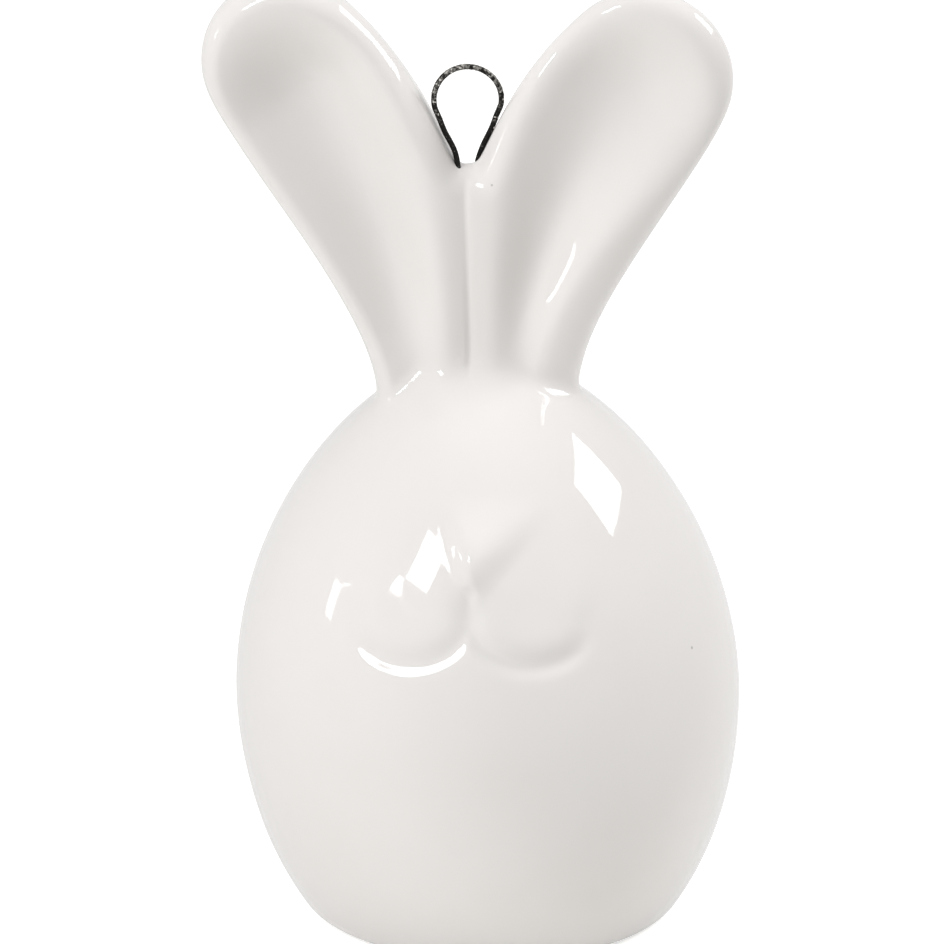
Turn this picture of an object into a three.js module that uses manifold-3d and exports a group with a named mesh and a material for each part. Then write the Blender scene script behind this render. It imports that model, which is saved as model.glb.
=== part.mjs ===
// Rabbit figurine: an egg-shaped glazed ceramic head that stands on its own flat foot,
// two scooped ears luted to its crown and to each other, and a wire loop to hang it by.
// Millimetres, +Z up, the face looks along -Y. The origin is on the table, under the
// middle of the figure's width and depth.

import * as THREE from 'three';
import { mergeVertices } from 'three/addons/utils/BufferGeometryUtils.js';
import Module from 'manifold-3d';

const wasm = await Module();
wasm.setup();

// Head: an egg turned about the Z axis
const headRadius = 29.55;
const widestHeight = 26.4; // height of the widest ring above the table
const crownRise = 40.5; // from the widest ring to the top of the egg
const crownPower = 1.87; // 2 is round, less is more pointed
const crownFullness = 0.6;
const bellyDepth = 39.0; // from the widest ring down to where the belly would close
const bellyPower = 2.05;
const footEdgeRadius = 1.0;
const wallThickness = 3.6;
const ventRadius = 5.5; // hole in the foot that the slip was drained through
const castingLean = 0.0173; // sideways drift of the fired piece, per millimetre of height

// Nose: a rounded triangle standing on the egg, point down
const noseAboveWidest = 23.2; // height of its middle above the widest ring
const noseWidth = 8.2; // of its crest, before the bevel widens it
const noseLength = 5.0;
const noseSoftness = 1.5; // width of the bevel
const noseRise = 2.1; // how far it stands out
const noseCornerRadius = 0.9;

// Mouth: two hanging arcs that meet under the nose, pressed into the egg
const cuspBelowNose = 7.5; // from the middle of the nose to where the arcs meet
const mouthDrop = 4.9; // from the cusp down to the lowest point
const rightArcRadius = 6.6;
const leftArcRadius = 7.1;
const mouthGrooveRadius = 0.95;
const mouthGrooveDepth = 0.7;
const mouthFade = 1.2; // how far the groove lifts out at its outer end

// Ears: blades with a scooped front, a round rim and a rounded back
const earPairShift = -0.6; // middle of the pair, measured from the egg's axis
const jointShift = -1.2; // the seam between the ears, measured from the egg's axis
const earPlane = -0.6; // depth of the ears' middle plane
const rootHalfWidth = 11.6; // of the pair, where it leaves the crown
const rootHalfThickness = 4.6;
const rootSink = 14.9; // the blades start this far below the crown's top and are cut to it
const tipHalfThickness = 3.6;
const tipStart = -0.3; // angles between which the tip is round
const tipEnd = 2.3;
const rootPull = 10.5; // how far the outer edge keeps its direction at the root
const cheekPull = 7.9; // the same where it turns into the tip
const browPull = 12.1; // the same where the tip turns into the inner edge
const notchPull = 1.75; // the same where it comes down to the bottom of the V
const notchTurn = 0.8; // angle from upright at which it comes down
const notchRise = 22.7; // bottom of the V above the crown's top
const webHalfWidth = 0.87; // half of the flat bottom of the V
const rimBlend = 4.0; // over which the inner rim turns into the outer one
const scoopBendRise = 16.2; // above the crown's top, where the scoops turn outward
const scoopTaper = 0.3; // power by which their depth follows their reach
const scoopStart = -0.25; // shares of its length between which a scoop comes to its depth
const scoopFull = 0.45;
const backBulge = 0.3; // of the blade's back, as a share of the scoop's depth
const seamOverlap = 0.65; // length of each blade beyond the seam, before it is cut there
const rimOverlap = 3.0; // the same for the outline that the rims follow
const seamSoftness = 4.2; // distance from the seam over which a blade falls towards it
const rootFillet = 1.2; // band of slip smoothed round the root
const rootBlend = 15; // height over which the sections stop following the crown

// Each ear: side is -1 for the rabbit's right. The tip is round, its spread is from the
// pair's middle and its rise from the crown's top. The scoop is a valley along a line from
// the root to a drop below the tip's middle, given by its distance from the pair's middle,
// and the reach of its sides widens by a power along it. seamDrop is how far the blade falls
// at the seam, tuck how far its front lies behind the other's at the root
const rightEar = {
  side: -1,
  tip: { spread: 20.9, rise: 34.3, radius: 9.9 },
  scoop: { depth: 5.3, root: 6.7, bend: 10.2, tip: 18.9, drop: 3.7 },
  reach: { root: 4.4, tip: 11.5, widening: 1 },
  outerRim: 2.6,
  innerRim: 3.2,
  seamDrop: 1.4,
  tuck: 0,
};
const leftEar = {
  side: 1,
  tip: { spread: 19.7, rise: 33.2, radius: 10.1 },
  scoop: { depth: 4.8, root: 5.0, bend: 6.8, tip: 17.0, drop: 2.0 },
  reach: { root: 3.4, tip: 14.0, widening: 1.6 },
  outerRim: 5.5,
  innerRim: 4.2,
  seamDrop: 0.2,
  tuck: 1.2,
};

// Hanging loop: one bent wire whose legs lie in the seam between the ears
const wireDiameter = 0.65;
const eyeWidth = 6.95; // clear width inside the round part
const eyeRise = 7.8; // centre of the round part above the bottom of the V
const eyeShift = 0.15; // sideways, from the seam
const eyeOpening = 0.58; // angle by which the round part runs on below its middle
const throatWidth = 4.0; // clear of the legs below the round part
const throatRise = 4.1; // height of the throat above the bottom of the V
const neckWidth = 2.35; // clear of the legs just above the clay
const neckRise = 1.75; // height of the neck above the bottom of the V
const legSpread = 1.35; // clay between the legs, side to side
const legGap = 1.35; // the same, front to back
const legCover = 0.4; // clay over the top of the straight legs
const legDepth = 9.5; // length held in the clay
const legHook = 0.8; // outward bend at each end

const seatClearance = 0.3; // between pieces that were luted or fired together

// Facets
const headSegments = 60;
const outsideSteps = { edge: 5, belly: 8, crown: 16 };
const insideSteps = { edge: 1, belly: 4, crown: 8 };
const grooveSteps = 18;
const grooveSides = 8;
const outlineSteps = 24;
const scoopSteps = 16;
const earAcross = 14;
const rootStep = 0.45; // between the close sections at the root
const bladeStep = 2.2;
const tipSections = 10;
const wireSteps = 72;
const wireSides = 10;

const crownTop = widestHeight + crownRise;
const noseHeight = widestHeight + noseAboveWidest;
const mouthHeight = noseHeight - cuspBelowNose;
const notchHeight = crownTop + notchRise;

const glaze = { color: 0xf0efec, roughness: 0.08, metalness: 0 };
const darkWire = { color: 0x3a3836, roughness: 0.45, metalness: 0.9 };

function toSolid(geometry) {
  const bare = geometry.clone();
  bare.deleteAttribute('normal');
  bare.deleteAttribute('uv');
  const merged = mergeVertices(bare, 1e-4);
  const index = merged.index.array;
  const kept = [];
  for (let i = 0; i < index.length; i += 3) {
    const [a, b, c] = [index[i], index[i + 1], index[i + 2]];
    if (a !== b && b !== c && c !== a) kept.push(a, b, c);
  }
  const mesh = new wasm.Mesh({
    numProp: 3,
    vertProperties: merged.attributes.position.array,
    triVerts: new Uint32Array(kept),
  });
  return new wasm.Manifold(mesh);
}

function toGeometry(solid) {
  const mesh = solid.getMesh();
  const geometry = new THREE.BufferGeometry();
  geometry.setAttribute('position', new THREE.BufferAttribute(mesh.vertProperties, 3));
  geometry.setIndex(new THREE.BufferAttribute(mesh.triVerts, 1));
  return geometry;
}

// The radius of the egg at a height, and the height of its crown at a radius
function eggRadius(z) {
  if (z > widestHeight) {
    const rise = Math.min((z - widestHeight) / crownRise, 1);
    return headRadius * Math.pow(1 - Math.pow(rise, crownPower), crownFullness);
  }
  const fall = (widestHeight - z) / bellyDepth;
  return headRadius * Math.sqrt(1 - Math.pow(fall, bellyPower));
}

function crownHeight(radius) {
  const share = Math.pow(Math.min(radius / headRadius, 1), 1 / crownFullness);
  return widestHeight + crownRise * Math.pow(1 - share, 1 / crownPower);
}

// The outside of the egg from the edge of its foot to its top, with the outward normals
function eggOutline(steps) {
  const reach = 0.01;
  const slopeAt = (z) => Math.atan((eggRadius(z + reach) - eggRadius(z - reach)) / (2 * reach));
  let startHeight = 0;
  for (let pass = 0; pass < 20; pass += 1) {
    startHeight = footEdgeRadius * (1 - Math.sin(slopeAt(startHeight)));
  }
  const startSlope = slopeAt(startHeight);
  const centre = eggRadius(startHeight) - footEdgeRadius * Math.cos(startSlope);
  const outline = [];
  for (let i = 0; i <= steps.edge; i += 1) {
    const angle = -Math.PI / 2 + ((Math.PI / 2 - startSlope) * i) / steps.edge;
    const normal = new THREE.Vector2(Math.cos(angle), Math.sin(angle));
    const point = new THREE.Vector2(centre, footEdgeRadius).addScaledVector(normal, footEdgeRadius);
    outline.push({ point, normal });
  }
  const addSide = (z) => {
    const slope = slopeAt(z);
    outline.push({
      point: new THREE.Vector2(eggRadius(z), z),
      normal: new THREE.Vector2(Math.cos(slope), -Math.sin(slope)),
    });
  };
  for (let i = 1; i <= steps.belly; i += 1) {
    addSide(startHeight + ((widestHeight - startHeight) * i) / steps.belly);
  }
  for (let i = 1; i < steps.crown; i += 1) {
    addSide(widestHeight + crownRise * Math.sin((i / steps.crown) * (Math.PI / 2)));
  }
  outline.push({ point: new THREE.Vector2(0, crownTop), normal: new THREE.Vector2(0, 1) });
  return outline;
}

function turned(points) {
  return toSolid(new THREE.LatheGeometry(points, headSegments).rotateX(Math.PI / 2));
}

// The egg as a full solid, grown by a margin
function eggSolid(margin) {
  const grown = eggOutline(outsideSteps).map((o) =>
    o.point.clone().addScaledVector(o.normal, margin),
  );
  return turned([new THREE.Vector2(0, grown[0].y), ...grown]);
}

// The drained inside of the casting and its vent through the foot
function hollowSolid() {
  const wall = eggOutline(insideSteps)
    .map((o) => o.point.clone().addScaledVector(o.normal, -wallThickness))
    .filter((p) => p.y > wallThickness);
  const floor = new THREE.Vector2(wall[0].x - wallThickness / 2, wallThickness);
  return turned([
    new THREE.Vector2(0, -wallThickness),
    new THREE.Vector2(ventRadius, -wallThickness),
    new THREE.Vector2(ventRadius, wallThickness),
    floor,
    ...wall,
  ]);
}

function onFace(x, z, lift) {
  const radius = eggRadius(z) + lift;
  return new THREE.Vector3(x, -Math.sqrt(radius * radius - x * x), z);
}

// The nose, set square to the egg's surface
function noseSolid() {
  const half = noseWidth / 2;
  const top = noseLength / 2;
  const corner = noseCornerRadius;
  const shape = new THREE.Shape();
  shape.moveTo(-half + corner, top);
  shape.quadraticCurveTo(-half, top, -half + corner / 2, top - corner);
  shape.lineTo(-corner / 2, -top + corner / 2);
  shape.quadraticCurveTo(0, -top, corner / 2, -top + corner / 2);
  shape.lineTo(half - corner / 2, top - corner);
  shape.quadraticCurveTo(half, top, half - corner, top);
  shape.closePath();
  const geometry = new THREE.ExtrudeGeometry(shape, {
    depth: noseRise,
    bevelThickness: noseSoftness,
    bevelSize: noseSoftness,
    bevelSegments: 4,
    curveSegments: 3,
  });
  const slope = Math.atan2(eggRadius(noseHeight - top) - eggRadius(noseHeight + top), noseLength);
  geometry.translate(0, 0, -noseSoftness);
  geometry.rotateX(Math.PI / 2 - slope);
  const base = onFace(0, noseHeight, 0);
  geometry.translate(0, base.y, base.z);
  return toSolid(geometry);
}

// A groove of the mouth: a curve that follows the egg's surface
class MouthArc extends THREE.Curve {
  constructor(side, radius) {
    super();
    this.side = side;
    this.radius = radius;
  }

  getPoint(t, target = new THREE.Vector3()) {
    const angle = t * Math.PI;
    const x = this.side * this.radius * (1 - Math.cos(angle));
    const z = mouthHeight - mouthDrop * Math.sin(angle);
    const lift = mouthGrooveRadius - mouthGrooveDepth + mouthFade * Math.pow(t, 6);
    return target.copy(onFace(x, z, lift));
  }
}

class Philtrum extends THREE.Curve {
  getPoint(t, target = new THREE.Vector3()) {
    const top = noseHeight - noseLength / 2;
    const z = top + (mouthHeight - mouthGrooveRadius / 2 - top) * t;
    return target.copy(onFace(0, z, mouthGrooveRadius - mouthGrooveDepth));
  }
}

function tubeAlong(curve, radius, steps, sides) {
  const section = new THREE.Shape();
  for (let i = 0; i < sides; i += 1) {
    const angle = (i / sides) * 2 * Math.PI;
    const [x, y] = [radius * Math.cos(angle), radius * Math.sin(angle)];
    if (i === 0) section.moveTo(x, y);
    else section.lineTo(x, y);
  }
  section.closePath();
  return new THREE.ExtrudeGeometry(section, { steps, extrudePath: curve, curveSegments: 1 });
}

function headShell() {
  let solid = eggSolid(0).add(noseSolid()).subtract(hollowSolid());
  const creases = [new MouthArc(-1, rightArcRadius), new MouthArc(1, leftArcRadius), new Philtrum()];
  for (const crease of creases) {
    const groove = tubeAlong(crease, mouthGrooveRadius, grooveSteps, grooveSides);
    solid = solid.subtract(toSolid(groove));
  }
  return solid;
}

// The front view of one ear, as an outline in distance from the pair's middle and height,
// which runs on past the seam by an overlap
function earOutline({ side, tip }, overlap) {
  const seam = side * (jointShift - earPairShift);
  const jointSide = seam - overlap;
  const rootBottom = crownTop - rootSink;
  const rootTop = crownHeight(rootHalfWidth);
  const tipHeight = crownTop + tip.rise;
  const onTip = (angle, along) =>
    new THREE.Vector2(
      tip.spread + tip.radius * Math.cos(angle) - along * Math.sin(angle),
      tipHeight + tip.radius * Math.sin(angle) + along * Math.cos(angle),
    );
  const cheek = onTip(tipStart, 0);
  const cheekHandle = onTip(tipStart, -cheekPull);
  const browHandle = onTip(tipEnd, browPull);
  const outline = new THREE.Path();
  outline.moveTo(jointSide, rootBottom);
  outline.lineTo(rootHalfWidth, rootBottom);
  outline.lineTo(rootHalfWidth, rootTop);
  outline.bezierCurveTo(
    rootHalfWidth,
    rootTop + rootPull,
    cheekHandle.x,
    cheekHandle.y,
    cheek.x,
    cheek.y,
  );
  outline.absarc(tip.spread, tipHeight, tip.radius, tipStart, tipEnd, false);
  outline.bezierCurveTo(
    browHandle.x,
    browHandle.y,
    seam + webHalfWidth + notchPull * Math.sin(notchTurn),
    notchHeight + notchPull * Math.cos(notchTurn),
    seam + webHalfWidth,
    notchHeight,
  );
  outline.lineTo(jointSide, notchHeight);
  outline.closePath();
  return outline.getPoints(outlineSteps);
}

// The nearest place on a path: its distance, its share of the path and its own x
function nearestOn(path, x, z) {
  let best = { distance: Infinity, along: 0, x: 0 };
  for (let i = 0; i < path.length - 1; i += 1) {
    const [a, b] = [path[i], path[i + 1]];
    const [dx, dz] = [b.x - a.x, b.y - a.y];
    const span = dx * dx + dz * dz;
    const t = span ? THREE.MathUtils.clamp(((x - a.x) * dx + (z - a.y) * dz) / span, 0, 1) : 0;
    const distance = Math.hypot(x - a.x - t * dx, z - a.y - t * dz);
    if (distance < best.distance) {
      best = { distance, along: (i + t) / (path.length - 1), x: a.x + t * dx };
    }
  }
  return best;
}

function scoopLine({ tip, scoop }) {
  return new THREE.QuadraticBezierCurve(
    new THREE.Vector2(scoop.root, crownTop),
    new THREE.Vector2(scoop.bend, crownTop + scoopBendRise),
    new THREE.Vector2(scoop.tip, crownTop + tip.rise - scoop.drop),
  ).getPoints(scoopSteps);
}

// Depth of a scoop beside a place on its line: the sides are steepest halfway up
function scoopedAt({ scoop, reach }, near) {
  const wide = THREE.MathUtils.lerp(reach.root, reach.tip, near.along ** reach.widening);
  const share = Math.min(near.distance / wide, 1);
  const start = THREE.MathUtils.smoothstep(near.along, scoopStart, scoopFull);
  const full = scoop.depth * start * (wide / reach.tip) ** scoopTaper;
  return full * Math.cos((share * Math.PI) / 2) ** 2;
}

// Where a level line enters and leaves the outline
function chordAt(outline, z) {
  const hits = [];
  for (let i = 0; i < outline.length - 1; i += 1) {
    const [a, b] = [outline[i], outline[i + 1]];
    if ((a.y <= z) !== (b.y <= z)) hits.push(a.x + ((b.x - a.x) * (z - a.y)) / (b.y - a.y));
  }
  return [Math.min(...hits), Math.max(...hits)];
}

// Extra thickness of the slip that was smoothed round the root
function filletAt(x, y, z) {
  const above = z - crownHeight(Math.hypot(x, y));
  const inside = rootFillet - Math.min(Math.max(above, 0), rootFillet);
  return rootFillet - Math.sqrt(rootFillet * rootFillet - inside * inside);
}

// Heights of the sections on the pair's middle: close at the root, where they follow the
// crown, and close again round the tip
function earLevels(tip) {
  const levels = [];
  const rootEnd = crownTop + rootFillet + rootStep;
  const tipHeight = crownTop + tip.rise;
  for (let z = crownTop - 4 * rootStep; z < rootEnd; z += rootStep) levels.push(z);
  for (let z = rootEnd + bladeStep; z < tipHeight - 2 * bladeStep; z += bladeStep) levels.push(z);
  for (let i = 0; i < tipSections; i += 1) {
    const angle = tipStart + ((Math.PI / 2 - tipStart) * i) / tipSections;
    levels.push(tipHeight + tip.radius * Math.sin(angle));
  }
  return levels;
}

// How far the front and the back of the blade are set back from their full thickness
function setBack(ear, near, across, climb) {
  const seam = ear.side * (jointShift - earPairShift);
  const fromSeam = Math.max(across - seam, 0);
  const fall = ear.seamDrop * (1 - Math.min(fromSeam / seamSoftness, 1)) ** 2;
  const scooped = scoopedAt(ear, near);
  return {
    front: scooped + fall + ear.tuck * (1 - climb),
    back: backBulge * scooped - fall,
  };
}

// A point of the blade's skin: level is the section, angle goes round it from the outer edge
function earPoint(ear, outline, rimOutline, line, level, angle) {
  const front = angle < Math.PI;
  const follow = 1 - THREE.MathUtils.smoothstep(level, crownTop, crownTop + rootBlend);
  const tipTop = crownTop + ear.tip.rise + ear.tip.radius;
  const climb = THREE.MathUtils.smoothstep(level, crownTop, tipTop);
  const thickness = THREE.MathUtils.lerp(rootHalfThickness, tipHalfThickness, climb);
  let point = new THREE.Vector3(0, 0, level);
  for (let pass = 0; pass < 4; pass += 1) {
    const [inner, outer] = chordAt(outline, point.z);
    const across = (inner + outer) / 2 + ((outer - inner) / 2) * Math.cos(angle);
    const near = nearestOn(line, across, point.z);
    const outerShare = THREE.MathUtils.smoothstep(across - near.x, -rimBlend, rimBlend);
    const rimWidth = THREE.MathUtils.lerp(ear.innerRim, ear.outerRim, outerShare);
    const inside = nearestOn(rimOutline, across, point.z).distance;
    const edge = 1 - Math.min(inside / rimWidth, 1);
    const set = setBack(ear, near, across, climb);
    const half = (thickness - (set.front - set.back) / 2) * Math.sqrt(1 - edge * edge);
    const x = earPairShift + ear.side * across;
    const y = earPlane + (set.front + set.back) / 2 + (front ? -half : half);
    const flare = filletAt(x, y, point.z);
    const sideways = ear.side * flare * Math.max(Math.cos(angle), 0) * edge;
    const outward = (front ? -1 : 1) * flare * (1 - edge);
    const drop = crownTop - crownHeight(Math.hypot(x, y));
    point = new THREE.Vector3(x + sideways, y + outward, level - follow * drop);
  }
  return point;
}

// One ear, lofted through its sections
function earBlade(ear) {
  const { side, tip } = ear;
  const outline = earOutline(ear, seamOverlap);
  const rimOutline = earOutline(ear, rimOverlap);
  const line = scoopLine(ear);
  const levels = earLevels(tip);
  const ring = 2 * earAcross;
  const points = [];
  for (const level of levels) {
    for (let i = 0; i < ring; i += 1) {
      const angle = (i / earAcross) * Math.PI;
      points.push(earPoint(ear, outline, rimOutline, line, level, angle));
    }
  }
  const index = [];
  for (let k = 0; k < levels.length - 1; k += 1) {
    for (let i = 0; i < ring; i += 1) {
      const [a, b] = [k * ring + i, k * ring + ((i + 1) % ring)];
      index.push(a, a + ring, b + ring, a, b + ring, b);
    }
  }
  const [bottom, top] = [points.length, points.length + 1];
  const lastRing = (levels.length - 1) * ring;
  const rootMiddle = earPairShift + (side * rootHalfWidth) / 2;
  const tipMiddle = earPairShift + side * tip.spread;
  points.push(new THREE.Vector3(rootMiddle, earPlane, crownTop - rootSink));
  points.push(new THREE.Vector3(tipMiddle, earPlane, crownTop + tip.rise + tip.radius));
  for (let i = 0; i < ring; i += 1) {
    const next = (i + 1) % ring;
    index.push(i, next, bottom);
    index.push(lastRing + next, lastRing + i, top);
  }
  if (side < 0) index.reverse();
  const geometry = new THREE.BufferGeometry().setFromPoints(points);
  geometry.setIndex(index);
  return toSolid(geometry);
}

// The path of the wire: up the front leg, round the eye and down the back leg
function wirePath() {
  const halfSpacing = (legGap + wireDiameter) / 2;
  const halfSpread = (legSpread + wireDiameter) / 2;
  const halfNeck = (neckWidth + wireDiameter) / 2;
  const halfThroat = (throatWidth + wireDiameter) / 2;
  const eyeRadius = (eyeWidth + wireDiameter) / 2;
  const eyeMiddle = jointShift + eyeShift;
  const legTop = notchHeight - legCover;
  const legEnd = legTop - legDepth;
  const leg = (way) => {
    const x = jointShift + way * halfSpread;
    const y = earPlane + way * halfSpacing;
    return [
      new THREE.Vector3(x, y + way * legHook, legEnd),
      new THREE.Vector3(x, y, legEnd + 2 * legHook),
      new THREE.Vector3(x, y, (legTop + legEnd) / 2),
      new THREE.Vector3(x, y, legTop),
      new THREE.Vector3(eyeMiddle + way * halfNeck, y, notchHeight + neckRise),
      new THREE.Vector3(eyeMiddle + way * halfThroat, y, notchHeight + throatRise),
    ];
  };
  const points = leg(-1);
  const steps = 10;
  for (let i = 0; i <= steps; i += 1) {
    const angle = Math.PI + eyeOpening - ((Math.PI + 2 * eyeOpening) * i) / steps;
    points.push(
      new THREE.Vector3(
        eyeMiddle + eyeRadius * Math.cos(angle),
        earPlane + halfSpacing * ((2 * i) / steps - 1),
        notchHeight + eyeRise + eyeRadius * Math.sin(angle),
      ),
    );
  }
  points.push(...leg(1).reverse());
  return new THREE.CatmullRomCurve3(points, false, 'centripetal');
}

function hangingLoop(margin) {
  return toSolid(tubeAlong(wirePath(), wireDiameter / 2 + margin, wireSteps, wireSides));
}

// The half of space on the other side of the seam
function otherHalf(side) {
  const reach = 2 * crownTop;
  const block = new THREE.BoxGeometry(reach, reach, reach);
  block.translate(jointShift - side * (reach / 2 - seatClearance / 2), 0, crownTop);
  return toSolid(block);
}

function earSolid(ear) {
  return earBlade(ear)
    .subtract(eggSolid(seatClearance))
    .subtract(otherHalf(ear.side))
    .subtract(hangingLoop(seatClearance));
}

const figure = new THREE.Group();
const lean = new THREE.Matrix4().makeShear(0, 0, 0, 0, -castingLean, 0);

function addPiece(name, solid, look) {
  const geometry = toGeometry(solid).applyMatrix4(lean);
  const mesh = new THREE.Mesh(geometry, new THREE.MeshStandardMaterial(look));
  mesh.name = name;
  figure.add(mesh);
}

addPiece('head_shell', headShell(), glaze);
addPiece('right_ear', earSolid(rightEar), glaze);
addPiece('left_ear', earSolid(leftEar), glaze);
addPiece('hanging_loop', hangingLoop(0), darkWire);

const extent = new THREE.Box3().setFromObject(figure);
figure.position.x = -(extent.min.x + extent.max.x) / 2;
figure.position.y = -(extent.min.y + extent.max.y) / 2;

export default figure;
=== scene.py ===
# A white glazed ceramic rabbit's head with two scooped ears and a wire loop to hang it by.
# Metres, +Z up, the face looks along -Y. The skin of the clay is a field, below 0 in the
# clay and above 0 in the air, worked out upright and leaned over at the end.

import math
from functools import partial
from itertools import product

import bpy
import numpy as np
from bpy.props import FloatProperty, FloatVectorProperty, IntProperty, PointerProperty
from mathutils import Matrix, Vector


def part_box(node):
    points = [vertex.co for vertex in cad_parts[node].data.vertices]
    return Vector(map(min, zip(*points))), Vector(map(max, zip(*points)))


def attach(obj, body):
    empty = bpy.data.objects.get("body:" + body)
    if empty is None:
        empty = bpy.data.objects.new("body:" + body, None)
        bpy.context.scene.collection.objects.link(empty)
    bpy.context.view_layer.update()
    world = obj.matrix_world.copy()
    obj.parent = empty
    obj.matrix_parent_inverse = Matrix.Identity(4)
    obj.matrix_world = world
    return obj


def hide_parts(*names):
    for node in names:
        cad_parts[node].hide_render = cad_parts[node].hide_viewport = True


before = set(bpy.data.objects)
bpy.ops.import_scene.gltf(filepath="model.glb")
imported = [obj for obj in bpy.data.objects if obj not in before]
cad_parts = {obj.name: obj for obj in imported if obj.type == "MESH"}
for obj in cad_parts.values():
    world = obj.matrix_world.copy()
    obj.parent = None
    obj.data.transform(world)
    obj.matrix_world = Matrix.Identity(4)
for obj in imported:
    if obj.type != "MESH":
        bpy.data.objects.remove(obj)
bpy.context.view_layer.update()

bl_info = {
    "name": "Glazed Rabbit Ornament",
    "version": (1, 0, 0),
    "blender": (4, 5, 0),
    "location": "3D View > Sidebar > Rabbit",
    "description": "Builds a glazed ceramic rabbit ornament with a wire loop, and its studio",
    "category": "Object",
}

MM = 0.001
BODY = "root"

# What the frame says about the place of the pieces
head_low, head_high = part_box("head_shell")
right_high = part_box("right_ear")[1]
left_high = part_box("left_ear")[1]
loop_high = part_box("hanging_loop")[1]
CROWN = head_high.z

# Steps of the nets that the head, the ears and the maps of relief are worked out on
HEAD_PITCH, EAR_PITCH, PLAN_STEP, RELIEF_STEP = 0.44 * MM, 0.34 * MM, 0.4 * MM, 0.25 * MM
# How far the map of an ear goes on past its outline
PLAN_MARGIN = 6 * MM
# A cutting block reaches this far, past all of the figure
FAR = 0.2
# The ears are cut from the head above this height, just outside the skin of the egg
EARS_BOTTOM, SEAT_MARGIN = 57 * MM, 0.3 * MM
# The wire is bare below the first height and has most specks at the second. The painted highlight
# up the loop also starts at the first height.
SPECKS_START, SPECKS_FULL = 90 * MM, 101 * MM
# How far the round part of the loop goes on past its half circle at each end, in radians
EYE_OPENING = 0.58

# The camera that was fitted to the photograph: degrees, metres, and pixels of its frame
CAMERA_AZIMUTH, CAMERA_ELEVATION, CAMERA_DISTANCE = 4.3, 18.0, 0.670
CAMERA_AIM = (1.04 * MM, 0, 56.7 * MM)
FRAME_WIDTH, FOCAL_PIXELS, CENTRE_COLUMN, CENTRE_ROW = 944, 5778, 483.4, 436.9
WHITE = (1, 1, 1, 1)


def choices(kind, rows, **fields):
    """Values that a user may change, each from its name, its words and its default."""
    return {
        name: kind(name=name.replace("_", " ").title(), description=words, default=value, **fields)
        for name, (words, value) in rows.items()
    }


def sizes(**rows):
    """Lengths, in millimetres."""
    rows = {name: (words, value * MM) for name, (words, value) in rows.items()}
    return choices(FloatProperty, rows, unit="LENGTH", precision=5)


def numbers(**rows):
    return choices(FloatProperty, rows)


def colours(**rows):
    """Colours, from their sRGB hex values."""
    rows = {name: (words, linear(code)) for name, (words, code) in rows.items()}
    return choices(FloatVectorProperty, rows, subtype="COLOR", size=3, min=0.0, max=1.0)


def linear(code):
    """Linear RGB of an sRGB hex value such as "f2f0ec"."""
    parts = [int(code[i:i + 2], 16) / 255 for i in (0, 2, 4)]
    return [c / 12.92 if c <= 0.04045 else ((c + 0.055) / 1.055) ** 2.4 for c in parts]


class RabbitHeadSizes(bpy.types.PropertyGroup):
    __annotations__ = sizes(
        radius=("Half the width of the egg", (head_high.y - head_low.y) / 2 / MM),
        widest=("Height of the widest ring above the table", 26.4),
        belly=("From the widest ring to where the belly would close", 39.0),
        wall=("Thickness of the slip-cast wall", 3.6),
        vent=("Hole in the foot that the slip was drained through", 5.5),
        foot_edge=("Rounding of the foot's edge", 1.6),
        waves=("Height of the slight waves of a hand-sponged casting", 0.05),
    ) | numbers(
        lean=("Sideways drift of the fired piece per unit of height", 0.0173),
        crown_power=("2 is a round crown, less is more pointed", 1.87),
        crown_fullness=("Less makes the crown fuller", 0.6),
        belly_power=("2 is a round belly, more is fuller", 2.05),
    )


class RabbitFaceSizes(bpy.types.PropertyGroup):
    __annotations__ = sizes(
        nose_height=("Height of the top edge of the nose", 52.8),
        nose_length=("From the top edge down to the tip", 6.6),
        nose_right=("From the tip across to the right corner", 2.0),
        nose_left=("From the tip across to the left corner", 5.6),
        nose_rise=("How far the nose stands out", 1.6),
        brow_slope=("Width of the slope over the nose", 6.0),
        right_flank=("Width of the slope on the rabbit's right", 3.0),
        left_flank=("Width of the slope on the rabbit's left", 4.6),
        philtrum_depth=("Depth of the line below the nose", 0.38),
        philtrum_width=("Half width of the line below the nose", 0.7),
        mouth_height=("Height of the cusp where the arcs meet", 43.1),
        mouth_drop=("From the cusp down to the lowest point", 4.7),
        mouth_sag=("How much lower the arcs end than they start", 0.8),
        right_arc=("Radius of the arc on the rabbit's right", 6.9),
        left_arc=("Radius of the arc on the rabbit's left", 7.1),
        groove_depth=("Depth of the pressed mouth", 0.45),
        pad_rise=("How far the cheek pads swell beside the mouth", 0.4),
        lip_width=("Half width of the groove on the side of the lip", 0.75),
        cheek_width=("Half width of the groove on the side of the cheek", 1.8),
    )


class RabbitEarSizes(bpy.types.PropertyGroup):
    __annotations__ = sizes(
        pair_shift=("Middle of the pair, from the axis of the egg", -0.6),
        joint_shift=("Joint between the ears, from the axis of the egg", -1.2),
        plane=("Depth of the middle plane of the ears", -0.6),
        root_width=("Half the width of the pair at the crown", 11.6),
        root_thickness=("Half thickness at the root", 4.6),
        tip_thickness=("Half thickness at the tip", 3.6),
        notch_rise=("Bottom of the V between the ears, above the crown", 22.7),
        web=("Half the flat bottom of the V", 0.87),
        rim_blend=("Over which the inner rim turns into the outer one", 4.0),
        bend_rise=("Where the scoops turn outward, above the crown", 16.2),
        overlap=("Length of each blade beyond the joint, before it is cut", 3.0),
        joint_softness=("Over which a blade falls towards the joint", 4.2),
        joint_blend=("Half width of the glaze over the joint", 0.5),
        root_fillet=("Reach of the slip smoothed along the root", 4.6),
        root_corner=("Reach of the slip at the outer corners of the root", 2.0),
    )


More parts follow.
